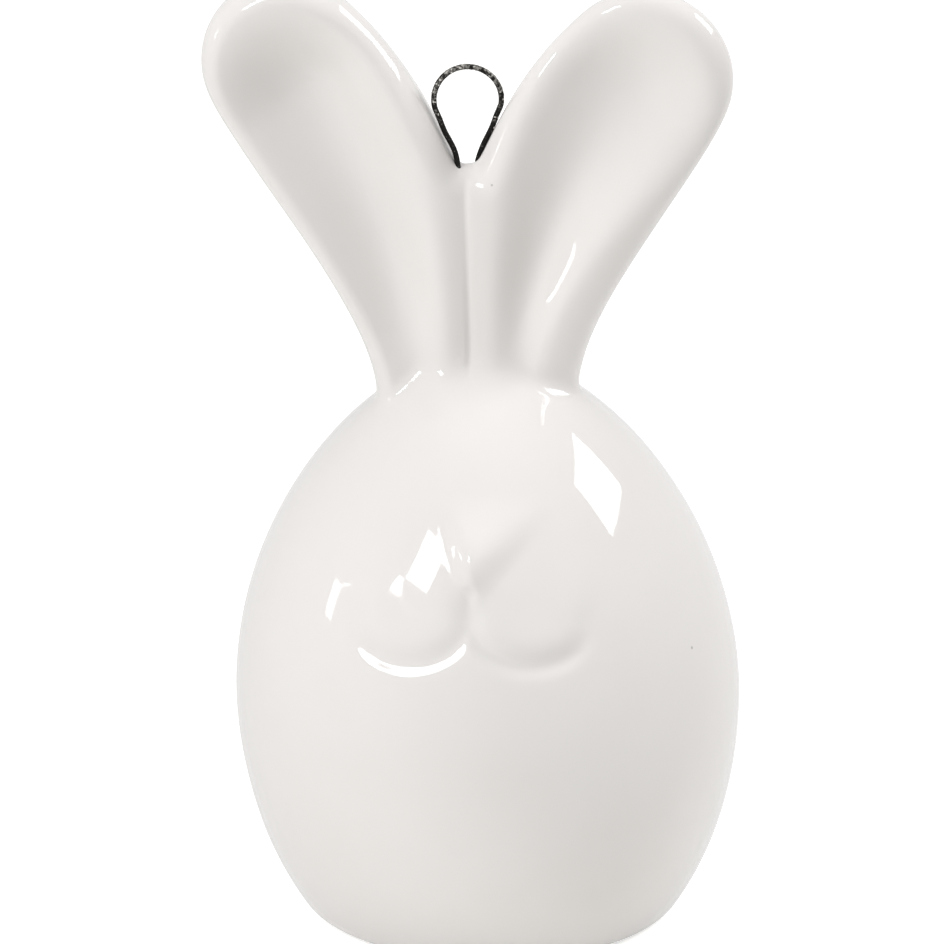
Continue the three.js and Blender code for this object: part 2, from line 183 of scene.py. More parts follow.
def blade_sizes(spread, radius, depth, line, drop, reach, widening, rims, joint_drop, tuck):
    """The sizes of one ear."""
    return sizes(
        spread=("Middle of the round tip, from the pair's middle", spread),
        radius=("Radius of the round tip", radius),
        depth=("Depth of the scooped front at the tip", depth),
        line_root=("Line of the scoop at the root", line[0]),
        line_bend=("Line of the scoop where it turns outward", line[1]),
        line_tip=("Line of the scoop at the tip", line[2]),
        drop=("End of the line below the tip's middle", drop),
        root_reach=("Half width of the scoop at the root", reach[0]),
        tip_reach=("Half width of the scoop at the tip", reach[1]),
        outer_rim=("Width of the round outer rim", rims[0]),
        inner_rim=("Width of the round inner rim", rims[1]),
        joint_drop=("How far the blade falls at the joint", joint_drop),
        tuck=("How far its front lies behind the other's at the root", tuck),
    ) | numbers(widening=("Power by which the scoop widens", widening))


class RabbitRightEarSizes(bpy.types.PropertyGroup):
    __annotations__ = blade_sizes(
        20.9, 9.9, 5.3, (6.7, 10.2, 18.9), 3.7, (4.4, 11.5), 1.0, (2.6, 3.2), 1.4, 0.0
    )


class RabbitLeftEarSizes(bpy.types.PropertyGroup):
    __annotations__ = blade_sizes(
        19.7, 10.1, 4.8, (5.0, 6.8, 17.0), 2.0, (3.4, 14.0), 1.6, (5.5, 4.2), 0.2, 1.2
    )


class RabbitLoopSizes(bpy.types.PropertyGroup):
    __annotations__ = sizes(
        diameter=("Thickness of the wire", 0.65),
        eye=("Clear width inside the round part", 6.95),
        eye_rise=("Centre of the round part above the bottom of the V", 7.65),
        eye_shift=("Sideways from the joint", 0.15),
        throat=("Clear of the legs below the round part", 4.6),
        throat_rise=("Height of the throat above the bottom of the V", 4.1),
        neck=("Clear of the legs just above the clay", 2.35),
        neck_rise=("Height of the neck above the bottom of the V", 1.75),
        leg_spread=("Clay between the legs, side to side", 1.35),
        leg_gap=("Clay between the legs, front to back", 1.35),
        leg_cover=("Clay over the top of the straight legs", 0.4),
        leg_depth=("Length held in the clay", 9.5),
        leg_hook=("Outward bend at each end", 0.8),
        speck=("Size of the scale and glaze specks on the wire", 0.2),
    ) | numbers(
        specks=("Glaze specks on each square millimetre at the top of the loop", 2.5),
    ) | choices(IntProperty, {"seed": ("Where the specks fall", 4)})


class RabbitLooks(bpy.types.PropertyGroup):
    __annotations__ = colours(
        glaze=("Clear glaze over the white body", "f4f1ef"),
        pooled=("Where the glaze lies thicker", "efebe8"),
        biscuit=("Bare fired clay of the foot and the inside", "e6e0d4"),
        scale=("Oxide on the wire", "1f1e1d"),
        # Paler patches of thin scale on the wire, and also the painted highlight at the top of the
        # loop
        worn=("Where the scale is thin", "a8a5a0"),
        floor=("Pale floor and backdrop", "f4f4f2"),
    )


def soft_min(a, b, reach):
    """The smaller of two fields, rounded where they are within reach of each other."""
    near = np.maximum(reach - np.abs(a - b), 0) / reach
    return np.minimum(a, b) - near ** 3 * reach / 6


def soft_max(a, b, reach):
    return -soft_min(-a, -b, reach)


def ease(value, start, end):
    """0 before start, 1 after end, and smooth between them."""
    t = np.clip((value - start) / (end - start), 0, 1)
    return t * t * (3 - 2 * t)


def blurred(table, spread):
    """The table with a bell of that many cells run along each axis."""
    offsets = np.arange(-int(3 * spread) - 1, int(3 * spread) + 2)
    bell = np.exp(-0.5 * (offsets / spread) ** 2)
    bell /= bell.sum()
    for axis in range(table.ndim):
        pads = [(0, 0)] * table.ndim
        pads[axis] = (len(offsets) // 2, len(offsets) // 2)
        padded = np.pad(table, pads, mode="edge")
        table = np.apply_along_axis(lambda row: np.convolve(row, bell, "valid"), axis, padded)
    return table


def spline_weights(t):
    """Weights of the four cells round a point, which keep the curvature smooth."""
    second, third = 3 * t ** 3 - 6 * t ** 2 + 4, -3 * t ** 3 + 3 * t ** 2 + 3 * t + 1
    return (1 - t) ** 3 / 6, second / 6, third / 6, t ** 3 / 6


class Map:
    """A smooth function of one or two lengths, kept as a table with an even step."""

    def __init__(self, table, low, step):
        self.table = table
        self.low = low
        self.step = step

    def __call__(self, *where):
        cells = []
        for axis, value in enumerate(where):
            place = (value - self.low[axis]) / self.step
            first = np.floor(place).astype(int)
            last = self.table.shape[axis] - 1
            taps = [np.clip(first + k, 0, last) for k in (-1, 0, 1, 2)]
            cells.append(list(zip(taps, spline_weights(place - first))))
        if len(cells) == 1:
            return sum(w * self.table[i] for i, w in cells[0])
        return sum(wi * sum(wj * self.table[i, j] for j, wj in cells[1]) for i, wi in cells[0])


def along_spans(starts, ends, x, z, tiny=0.0):
    """For each straight span of a path: the share of it up to the place nearest to each
    point, the x of that place and its distance. tiny lets a span have no length."""
    for (ax, az), (bx, bz) in zip(starts, ends):
        dx, dz = bx - ax, bz - az
        t = np.clip(((x - ax) * dx + (z - az) * dz) / (dx * dx + dz * dz + tiny), 0, 1)
        yield t, ax + t * dx, np.hypot(x - ax - t * dx, z - az - t * dz)


def distance_to_path(points, x, z, closed):
    """Distance from each place to a path in a plane."""
    ends = np.roll(points, -1, axis=0) if closed else points[1:]
    best = np.full(np.shape(x), np.inf)
    for _, _, distance in along_spans(points, ends, x, z, 1e-18):
        best = np.minimum(best, distance)
    return best


def nearest_on_path(points, x, z):
    """Distance to a path, the share of the path up to the nearest place and its x."""
    best, along, middle = np.full(np.shape(x), np.inf), np.zeros(x.shape), np.zeros(x.shape)
    for i, (t, place, distance) in enumerate(along_spans(points, points[1:], x, z)):
        nearer = distance < best
        best = np.where(nearer, distance, best)
        along = np.where(nearer, (i + t) / (len(points) - 1), along)
        middle = np.where(nearer, place, middle)
    return best, along, middle


def within(points, x, z):
    """Whether each place is inside a closed outline."""
    inside = np.zeros(np.shape(x), bool)
    for (ax, az), (bx, bz) in zip(points, np.roll(points, -1, axis=0)):
        if az != bz:
            spans = (az <= z) != (bz <= z)
            inside ^= spans & (x < ax + (bx - ax) * (z - az) / (bz - az))
    return inside


def bezier(a, b, c, d, steps):
    t = np.linspace(0, 1, steps, endpoint=False)[:, None]
    a, b, c, d = (np.array(p) for p in (a, b, c, d))
    return (1 - t) ** 3 * a + 3 * (1 - t) ** 2 * t * b + 3 * (1 - t) * t ** 2 * c + t ** 3 * d


class Casting:
    """The outer skin of the whole figure, upright, as a field."""

    # How far the ear's edges keep their direction at the root, the cheek, the brow and
    # the notch, and the angles between which the tip is round
    ROOT_PULL, CHEEK_PULL, BROW_PULL, NOTCH_PULL = 10.5 * MM, 7.9 * MM, 12.1 * MM, 1.75 * MM
    TIP_START, TIP_END, NOTCH_TURN = -0.3, 2.3, 0.8
    ROOT_SINK = 14.9 * MM
    # Power by which the scoops' depth follows their reach, the shares of their length
    # between which they come to their depth, and the bulge of the back against it
    TAPER, SCOOP_START, SCOOP_FULL, BULGE = 0.3, -0.25, 0.45, 0.3
    # Where the face is worked out: half its width, its lowest and highest point and how
    # near the skin of the egg. The ears are worked out from ROOTS_LOW up.
    FACE_HALF, FACE_LOW, FACE_HIGH, FACE_NEAR = 19 * MM, 29 * MM, 61 * MM, 6 * MM
    ROOTS_LOW = 56 * MM

    def __init__(self, settings):
        self.head = settings.rabbit_head
        self.face = settings.rabbit_face
        self.ears = settings.rabbit_ears
        self.blades = {-1: settings.rabbit_right_ear, 1: settings.rabbit_left_ear}
        self.axis_x = (head_low.x + head_high.x) / 2 + self.head.lean * self.head.widest
        self.axis_y = (head_low.y + head_high.y) / 2
        self.profile = self.egg_profile()
        self.plans = {side: self.ear_plan(side) for side in self.blades}
        self.nose = self.nose_relief()
        self.mouth = self.mouth_relief()

    def egg_radius(self, z):
        """Radius of the egg at each height."""
        h = self.head
        rise = np.clip((z - h.widest) / (CROWN - h.widest), 0, 1)
        fall = np.clip((h.widest - z) / h.belly, 0, 1)
        above = (1 - rise ** h.crown_power) ** h.crown_fullness
        below = np.sqrt(1 - fall ** h.belly_power)
        return h.radius * np.where(z > h.widest, above, below)

    def egg_profile(self):
        """Distance of the skin from the middle of the egg, against the angle of rise."""
        h = self.head
        share = np.linspace(0, 1, 4000)
        lows = h.widest - h.belly * np.sin(share[::-1] * math.pi / 2)
        highs = h.widest + (CROWN - h.widest) * np.sin(share * math.pi / 2)
        z = np.concatenate([lows, highs[1:]])
        r = self.egg_radius(z)
        angle = np.arctan2(z - h.widest, r)
        reach = np.hypot(z - h.widest, r)
        step = math.radians(1)
        margin = math.radians(20)
        even = np.arange(-math.pi / 2 - margin, math.pi / 2 + margin, step)
        folded = np.where(np.abs(even) > math.pi / 2, np.sign(even) * math.pi - even, even)
        table = np.interp(folded, angle, reach)
        return Map(blurred(table, 2.0), [even[0]], step)

    def egg(self, p):
        x, y, z = p.T
        r, z = np.hypot(x, y), z - self.head.widest
        return np.hypot(r, z) - self.profile(np.arctan2(z, r))

    def ear_top(self, side):
        return right_high.z if side < 0 else left_high.z

    def ear_outline(self, side):
        """The front view of one ear: distance from the pair's middle, and height."""
        e = self.ears
        spread, radius = self.blades[side].spread, self.blades[side].radius
        top = self.ear_top(side)
        seam = side * (e.joint_shift - e.pair_shift)
        edge, web = seam - e.overlap, seam + e.web
        bottom = CROWN - self.ROOT_SINK
        heights = np.linspace(self.head.widest, CROWN, 2000)
        root_top = np.interp(-e.root_width, -self.egg_radius(heights), heights)
        notch = CROWN + e.notch_rise

        def tip(angle, along=0.0):
            c, s = math.cos(angle), math.sin(angle)
            return spread + radius * c - along * s, top - radius + radius * s + along * c

        cheek = bezier(
            (e.root_width, root_top), (e.root_width, root_top + self.ROOT_PULL),
            tip(self.TIP_START, -self.CHEEK_PULL), tip(self.TIP_START), 24,
        )
        brow = bezier(
            tip(self.TIP_END), tip(self.TIP_END, self.BROW_PULL),
            (web + self.NOTCH_PULL * math.sin(self.NOTCH_TURN),
             notch + self.NOTCH_PULL * math.cos(self.NOTCH_TURN)),
            (web, notch), 24,
        )
        round_tip = [tip(a) for a in np.linspace(self.TIP_START, self.TIP_END, 48)]
        corners = [(web, notch), (edge, notch), (edge, bottom), (e.root_width, bottom)]
        return np.concatenate([cheek, round_tip, brow[1:], corners])

    def ear_plan(self, side):
        """Maps of the front view of one ear: distance inside its outline over the width of
        its rim, and how far its front and its back are set back from their full thickness."""
        e, blade = self.ears, self.blades[side]
        outline = self.ear_outline(side)
        low, high = outline.min(axis=0) - PLAN_MARGIN, outline.max(axis=0) + PLAN_MARGIN
        x, z = np.meshgrid(*(np.arange(a, b, PLAN_STEP) for a, b in zip(low, high)), indexing="ij")
        distance = distance_to_path(outline, x, z, closed=True)
        distance = np.where(within(outline, x, z), distance, -distance)
        depth, middle = self.scooped(blade, self.ear_top(side), x, z)
        outward = ease(x - middle, -e.rim_blend, e.rim_blend)
        rim = blade.inner_rim + (blade.outer_rim - blade.inner_rim) * outward
        seam = side * (e.joint_shift - e.pair_shift)
        fall = blade.joint_drop * np.clip(1 - (x - seam) / e.joint_softness, 0, 1) ** 2
        tuck = blade.tuck * (1 - ease(z, CROWN, self.ear_top(side)))
        front, back = depth + fall + tuck, self.BULGE * depth - fall
        tables = ((distance / rim, 0.9), (front, 1.5), (back, 1.5))
        return [Map(blurred(table, spread), low, PLAN_STEP) for table, spread in tables]

    def scooped(self, blade, top, x, z):
        """Depth of a scoop: a valley along a line, with its sides steepest halfway up."""
        t = np.linspace(0, 1, 33)[:, None]
        line = (1 - t) ** 2 * np.array((blade.line_root, CROWN))
        line = line + 2 * t * (1 - t) * np.array((blade.line_bend, CROWN + self.ears.bend_rise))
        line = line + t ** 2 * np.array((blade.line_tip, top - blade.radius - blade.drop))
        distance, along, middle = nearest_on_path(line, x, z)
        widening = along ** blade.widening
        reach = blade.root_reach + (blade.tip_reach - blade.root_reach) * widening
        full = blade.depth * ease(along, self.SCOOP_START, self.SCOOP_FULL)
        full = full * (reach / blade.tip_reach) ** self.TAPER
        return full * np.cos(np.minimum(distance / reach, 1) * math.pi / 2) ** 2, middle

    def ear(self, p, side):
        """One ear: a round rim about a scooped front and a slightly bulging back."""
        e = self.ears
        x, y, z = p.T
        inside, front, back = (plan(side * (x - e.pair_shift), z) for plan in self.plans[side])
        climb = ease(z, CROWN, self.ear_top(side))
        thickness = e.root_thickness + (e.tip_thickness - e.root_thickness) * climb
        middle = e.plane + (front + back) / 2
        half = thickness - (front - back) / 2
        edge = np.maximum(1 - inside, 0) * half
        return np.hypot(edge, y - middle) - half

    def face_grid(self):
        """Even places over the front of the face and a little past it, across and up."""
        half, low, high = self.FACE_HALF + MM, self.FACE_LOW - MM, self.FACE_HIGH + MM
        across, up = np.arange(-half, half, RELIEF_STEP), np.arange(low, high, RELIEF_STEP)
        return np.meshgrid(across, up, indexing="ij")

    def nose_relief(self):
        """Rise of the soft three-sided nose, against place and height."""
        f = self.face
        x, z = self.face_grid()
        tip = f.nose_height - f.nose_length
        rise = 1 - ease(z - f.nose_height, -f.brow_slope / 2, f.brow_slope / 2)
        flanks = ((-1, f.nose_right, f.right_flank), (1, f.nose_left, f.left_flank))
        for side, corner, slope in flanks:
            outward = f.nose_length * side * x - corner * (z - tip)
            outward = outward / math.hypot(corner, f.nose_length)
            rise = rise * (1 - ease(outward, -slope / 2, slope / 2))
        return Map(blurred(f.nose_rise * rise, 1.2), [x[0, 0], z[0, 0]], RELIEF_STEP)

    def mouth_relief(self):
        """The pressed mouth between the two cheek pads, against place and height."""
        f = self.face
        x, z = self.face_grid()
        turn = np.linspace(0, math.pi, 40)
        nose_tip = f.nose_height - f.nose_length
        line = np.array([[0, nose_tip], [0, f.mouth_height]])
        below_nose = distance_to_path(line, x, z, closed=False)
        crease = f.philtrum_depth * np.exp(-((below_nose / f.philtrum_width) ** 2))
        pads = 0
        for side, radius in ((-1, f.right_arc), (1, f.left_arc)):
            drop = f.mouth_drop * np.sin(turn) + f.mouth_sag * (1 - np.cos(turn)) / 2
            arc = np.stack([side * radius * (1 - np.cos(turn)), f.mouth_height - drop], axis=1)
            distance = distance_to_path(arc, x, z, closed=False)
            level = f.mouth_height - f.mouth_sag * np.abs(x) / (2 * radius)
            bowl = (np.abs(x) / radius - 1) ** 2 + ((z - level) / f.mouth_drop) ** 2
            inner = (side * x > 0) & ((bowl < 1) | (z > level))
            fade = 1 - ease(side * x, 1.5 * radius, 2.15 * radius)
            press = np.exp(-((distance / np.where(inner, f.cheek_width, f.lip_width)) ** 2))
            press = f.groove_depth * press * fade * (side * x > -0.3 * MM)
            crease = np.maximum(crease, press)
            edge = np.minimum(distance, below_nose)
            swell = 1 - np.exp(-((edge / f.cheek_width) ** 2))
            swell = swell * np.exp(-((edge / (3 * f.cheek_width)) ** 2))
            pads = pads + np.where(inner, swell * fade, 0)
        return Map(blurred(crease - f.pad_rise * pads, 0.9), [x[0, 0], z[0, 0]], RELIEF_STEP)

    def waves(self, p):
        """Slight waves that the sponge and the kiln leave."""
        total = 0
        for tilt, turn, length, start in (
            (0.3, 0.2, 17, 0.4), (1.1, 1.4, 13, 2.1), (2.0, 2.9, 21, 1.3),
            (0.7, 4.0, 11, 5.2), (1.6, 5.1, 15, 3.3),
        ):
            way = np.array((
                math.sin(tilt) * math.cos(turn), math.sin(tilt) * math.sin(turn), math.cos(tilt)
            ))
            total = total + np.sin(p @ way * (2 * math.pi / (length * MM)) + start)
        return total * self.head.waves / 5

    def skin(self, p):
        """The whole outside: egg, nose, mouth and ears under one glaze."""
        x, y, z = p.T
        result = self.egg(p)
        front = (np.abs(result) < self.FACE_NEAR) & (y < 0) & (np.abs(x) < self.FACE_HALF)
        front &= (z > self.FACE_LOW) & (z < self.FACE_HIGH)
        if front.any():
            place = x[front], z[front]
            result[front] += self.mouth(*place) - self.nose(*place)
        upper = z > self.ROOTS_LOW
        if upper.any():
            e, q, x = self.ears, p[upper], x[upper]
            share = ease(x, e.joint_shift - e.joint_blend, e.joint_shift + e.joint_blend)
            pair = (1 - share) * self.ear(q, -1) + share * self.ear(q, 1)
            corner = ease(np.abs(x - e.pair_shift), 0.3 * e.root_width, e.root_width)
            reach = e.root_fillet + (e.root_corner - e.root_fillet) * corner
            result[upper] = soft_min(result[upper], pair, reach)
        result = result + self.waves(p)
        return soft_max(result, -z, self.head.foot_edge)

    def lean(self, p):
        """From the upright figure to its place in the frame."""
        x, y, z = p.T
        return np.stack([x + (self.axis_x - self.head.lean * z), y + self.axis_y, z], axis=1)


def gradient(field, p, step=0.04 * MM):
    ways = np.eye(3) * step
    return np.stack([(field(p + way) - field(p - way)) / (2 * step) for way in ways], axis=1)


def polygonise(field, low, high, pitch):
    """Quads over the places where a field is 0, one point in each cell that it crosses."""
    counts = [int(math.ceil((b - a) / pitch)) + 1 for a, b in zip(low, high)]
    axes = [a + pitch * np.arange(n) for a, n in zip(low, counts)]
    grid = np.stack(np.meshgrid(*axes, indexing="ij"), axis=-1).reshape(-1, 3)
    values = field(grid).reshape(counts)
    cell_shape = np.array(counts) - 1
    cell_count = int(np.prod(cell_shape))
    sums = np.zeros((cell_count, 3))
    hits = np.zeros(cell_count)
    quads = []
    for axis in range(3):
        first = np.take(values, range(counts[axis] - 1), axis)
        second = np.take(values, range(1, counts[axis]), axis)
        edge = np.argwhere((first < 0) != (second < 0))
        a, b = first[tuple(edge.T)], second[tuple(edge.T)]
        point = np.stack([axes[k][edge[:, k]] for k in range(3)], axis=1)
        point[:, axis] += pitch * a / (a - b)
        u, v = (axis + 1) % 3, (axis + 2) % 3
        ring = []
        for du, dv in ((0, 0), (1, 0), (1, 1), (0, 1)):
            cell = edge.copy()
            cell[:, u] -= du
            cell[:, v] -= dv
            flat = np.ravel_multi_index(cell.T, cell_shape)
            hits += np.bincount(flat, minlength=cell_count)
            for k in range(3):
                sums[:, k] += np.bincount(flat, point[:, k], cell_count)
            ring.append(flat)
        ring = np.stack(ring, axis=1)
        ring[a > 0] = ring[a > 0][:, ::-1]
        quads.append(ring)
    used = hits > 0
    index = np.cumsum(used) - 1
    return sums[used] / hits[used, None], index[np.concatenate(quads)]


def settle(field, points, pitch, passes=4):
    """Moves points onto the skin of a field."""
    for _ in range(passes):
        slope = gradient(field, points)
        length = np.maximum((slope ** 2).sum(axis=1), 0.05)
        move = slope * (field(points) / length)[:, None]
        reach = np.linalg.norm(move, axis=1, keepdims=True)
        points = points - move * np.minimum(1, pitch / np.maximum(reach, 1e-12))
    return points


def relaxed(points, quads, share):
    """Evens out the spacing of a net of quads."""
    sums = np.zeros_like(points)
    count = np.zeros(len(points))
    for k in range(4):
        a, b = quads[:, k], quads[:, (k + 1) % 4]
        for i, j in ((a, b), (b, a)):
            count += np.bincount(i, minlength=len(points))
            for c in range(3):
                sums[:, c] += np.bincount(i, points[j, c], len(points))
    return points + share * (sums / count[:, None] - points)


def put(name, data):
    """A new object in the scene with this mesh, curve, lamp or camera."""
    made = bpy.data.objects.new(name, data)
    bpy.context.scene.collection.objects.link(made)
    return made


def new_object(name, points, faces):
    mesh = bpy.data.meshes.new(name)
    mesh.from_pydata(np.asarray(points).tolist(), [], [[int(v) for v in face] for face in faces])
    mesh.update()
    return put(name, mesh)


def skin_object(name, casting, low, high, pitch, cap):
    """A closed mesh of the figure's skin in a box, with cap closing it off."""
    def field(p):
        return np.maximum(casting.skin(p), cap(p))

    points, quads = polygonise(field, low, high, pitch)
    on_skin = np.abs(cap(points)) > pitch
    for _ in range(2):
        points[on_skin] = relaxed(points, quads, 0.5)[on_skin]
        points[on_skin] = settle(casting.skin, points[on_skin], pitch, 2)
    points[on_skin] = settle(casting.skin, points[on_skin], pitch)
    return new_object(name, points, quads)


def turned_object(name, outline, segments=128):
    """A closed solid turned about the Z axis from an outline of radius and height."""
    outline = np.asarray(outline)
    angles = np.arange(segments) * 2 * math.pi / segments
    points, faces = [], []
    turns = [(i, (i + 1) % segments) for i in range(segments)]
    for r, z in outline[1:-1]:
        points += [(r * math.cos(a), r * math.sin(a), z) for a in angles]
    rings = len(outline) - 2
    bottom, top = len(points), len(points) + 1
    points += [(0, 0, outline[0][1]), (0, 0, outline[-1][1])]
    for a in range(0, (rings - 1) * segments, segments):
        faces += [(a + i, a + j, a + segments + j, a + segments + i) for i, j in turns]
    last = (rings - 1) * segments
    for i, j in turns:
        faces += [(j, i, bottom), (last + i, last + j, top)]
    return new_object(name, points, faces)


def block(name, low, high):
    corners = list(product(*zip(low, high)))
    faces = [(0, 1, 3, 2), (4, 6, 7, 5), (0, 4, 5, 1), (2, 3, 7, 6), (0, 2, 6, 4), (1, 5, 7, 3)]
    return new_object(name, corners, faces)


def carve(target, tool, operation="DIFFERENCE"):
    """Cuts a closed mesh with another and leaves the result in the target."""
    cut = target.modifiers.new("cut", "BOOLEAN")
    cut.operation = operation
    cut.solver = "MANIFOLD"
    cut.object = tool
    target.data = evaluated_mesh(target)
    target.modifiers.clear()
    bpy.data.objects.remove(tool)


def evaluated_mesh(thing):
    graph = bpy.context.evaluated_depsgraph_get()
    graph.update()
    return bpy.data.meshes.new_from_object(thing.evaluated_get(graph), depsgraph=graph)


def mesh_points(mesh):
    flat = np.empty(len(mesh.vertices) * 3)
    mesh.vertices.foreach_get("co", flat)
    return flat.reshape(-1, 3)


# A corner this near the skin is shaded by it. Clay deeper than this under the skin, or in
# this thin a band at the foot, is bare.
SKIN_NEAR, BARE_DEPTH, FOOT_BAND = 0.03 * MM, 1 * MM, 0.1 * MM


def finish_ceramic(piece, casting, materials):
    """Materials, shading from the skin itself and the lean of the fired piece."""
    mesh = piece.data
    mesh.materials.clear()
    for material in materials:
        mesh.materials.append(material)
    points = mesh_points(mesh)
    depth = casting.skin(points)
    normals = gradient(casting.skin, points)
    normals /= np.linalg.norm(normals, axis=1, keepdims=True)
    normals[:, 2] += casting.head.lean * normals[:, 0]
    corner_normals = []
    for face in mesh.polygons:
        corners = list(face.vertices)
        outside = np.abs(depth[corners]).max() < SKIN_NEAR
        outside = outside and float(face.normal.dot(normals[corners[0]])) > 0.5
        bare = depth[corners].min() < -BARE_DEPTH or points[corners, 2].max() < FOOT_BAND
        face.material_index = 1 if bare and len(materials) > 1 else 0
        face.use_smooth = True
        for v in corners:
            corner_normals.append(normals[v] if outside else face.normal)
    mesh.vertices.foreach_set("co", casting.lean(points).ravel())
    mesh.normals_split_custom_set([tuple(n) for n in corner_normals])
    mesh.update()
    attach(piece, BODY)


def add_node(tree, family, kind, values=None):
    """Adds one node. values sets its own fields and, by name or number, its sockets. A node,
    or a pair of a node and one of its outputs, is joined to the socket."""
    node = tree.nodes.new(family + kind)
    for key, value in (values or {}).items():
        source, *output = value if isinstance(value, tuple) else (value, 0)
        if isinstance(source, bpy.types.Node):
            tree.links.new(source.outputs[output[0]], node.inputs[key])
        elif isinstance(key, str) and hasattr(node, key):
            setattr(node, key, value)
        else:
            node.inputs[key].default_value = value
    return node


def new_material(name):
    """An empty material, and the function that adds its nodes."""
    material = bpy.data.materials.new(name)
    material.use_nodes = True
    material.node_tree.nodes.clear()
    return material, partial(add_node, material.node_tree, "ShaderNode")


def object_place(add):
    return add("TexCoord"), "Object"


def noise(add, cell, detail=2.0, roughness=0.5):
    """Noise of about this cell size that is fixed to the piece."""
    values = {"Scale": 1 / cell, "Detail": detail, "Roughness": roughness}
    return add("TexNoise", {**values, "Vector": object_place(add)})


def blend(add, share, first, second):
    """Goes from the first colour to the second with a node's value."""
    return add("Mix", {"data_type": "RGBA", 0: share, 6: first, 7: second}), 2


def bump(add, height, strength, distance):
    return add("Bump", {"Strength": strength, "Distance": distance, "Height": height})


def finish_material(add, values):
    add("OutputMaterial", {"Surface": add("BsdfPrincipled", values)})


def glaze_material(looks):
    """Clear transparent glaze over white earthenware, dipped and fired at about 1050 C: a smooth,
    wet-looking skin with sharp reflections, a faint orange peel, a few pinholes painted as small
    dark spots of shade, and a slightly warmer tone where it pooled."""
    material, add = new_material("clear_glaze_on_white_earthenware")
    tone = blend(add, noise(add, 16 * MM), (*looks.glaze, 1), (*looks.pooled, 1))
    pits = add("TexVoronoi", {"Scale": 1 / (9 * MM), "Vector": object_place(add)})
    # Painted shade: tiny dark spots in the colour stand for the shade inside pinholes too small to
    # model
    pinhole_shade = add(
        "MapRange",
        {"interpolation_type": "SMOOTHSTEP", "From Min": 0.012, "From Max": 0.026,
         "To Min": 0.45, "To Max": 0.0, "Value": (pits, "Distance")},
    )
    finish_material(add, {
        "Base Color": blend(add, pinhole_shade, tone, (*linear("6b665e"), 1)),
        "IOR": 1.5,
        "Roughness": 0.05,
        "Normal": bump(add, noise(add, 2.2 * MM, 1.0), 0.1, 0.03 * MM),
    })
    return material


def biscuit_material(looks):
    """Bare fired clay, wiped clean of glaze: matt and chalky, with a fine grain."""
    material, add = new_material("bare_biscuit_clay")
    grain = noise(add, 0.5 * MM, 4.0)
    finish_material(add, {
        "Base Color": blend(add, grain, (*looks.biscuit, 1), (*linear("d8d0c2"), 1)),
        "IOR": 1.45,
        "Roughness": 0.85,
        "Normal": bump(add, grain, 0.4, 0.05 * MM),
    })
    return material


def wire_material(looks):
    """Heat-resisting alloy wire, oxidised in the kiln, mottled paler where the scale is thin. Its
    colour also carries painted light: near black where it enters the clay, partly the oxide's own
    colour and partly painted shade, and ramped paler towards the top of the loop as a painted
    highlight."""
    material, add = new_material("kiln_oxidised_resistance_wire")
    patches = noise(add, 0.45 * MM, 3.0, 0.7)
    # Painted highlight: this ramp makes the wire paler towards the top of the loop and darker
    # below SPECKS_START, as painted shade on the legs
    height = add(
        "MapRange",
        {"From Min": SPECKS_START, "From Max": loop_high.z, "To Min": -0.2, "To Max": 0.03,
         "Value": (add("SeparateXYZ", {"Vector": object_place(add)}), "Z")},
    )
    worn = add(
        "MapRange",
        {"interpolation_type": "SMOOTHSTEP", "From Min": 0.42, "From Max": 0.68,
         "Value": add("Math", {"operation": "ADD", 0: patches, 1: height})},
    )
    finish_material(add, {
        "Base Color": blend(add, worn, (*looks.scale, 1), (*looks.worn, 1)),
        "Metallic": 0.85,
        "Roughness": add("MapRange", {"To Min": 0.32, "To Max": 0.6, "Value": patches}),
        "Normal": bump(add, patches, 0.5, 0.04 * MM),
    })
    return material


def dust_material():
    """Flecks of stray glaze that stuck to the wire: small, white and shiny."""
    material, add = new_material("stray_white_glaze")
    tone = blend(add, noise(add, 0.3 * MM), (*linear("f2efea"), 1), (*linear("a9a49c"), 1))
    finish_material(add, {"Base Color": tone, "Roughness": 0.2})
    return material


def smooth_path(points, steps):
    """A smooth line through the points, with even care for long and short spans."""
    p = np.array(points, float)
    p = np.concatenate([[2 * p[0] - p[1]], p, [2 * p[-1] - p[-2]]])
    line = []
    for i in range(1, len(p) - 2):
        knots = [0.0]
        for k in range(3):
            knots.append(knots[-1] + math.sqrt(np.linalg.norm(p[i + k] - p[i + k - 1])))
        t0, t1, t2, t3 = knots
        for t in np.linspace(t1, t2, steps, endpoint=False):
            def mix(a, b, start, end):
                return (end - t) / (end - start) * a + (t - start) / (end - start) * b

            ab, bc, cd = (mix(p[i + k - 1], p[i + k], *knots[k:k + 2]) for k in range(3))
            line.append(mix(mix(ab, bc, t0, t2), mix(bc, cd, t1, t3), t1, t2))
    line.append(p[-2])
    return np.array(line)


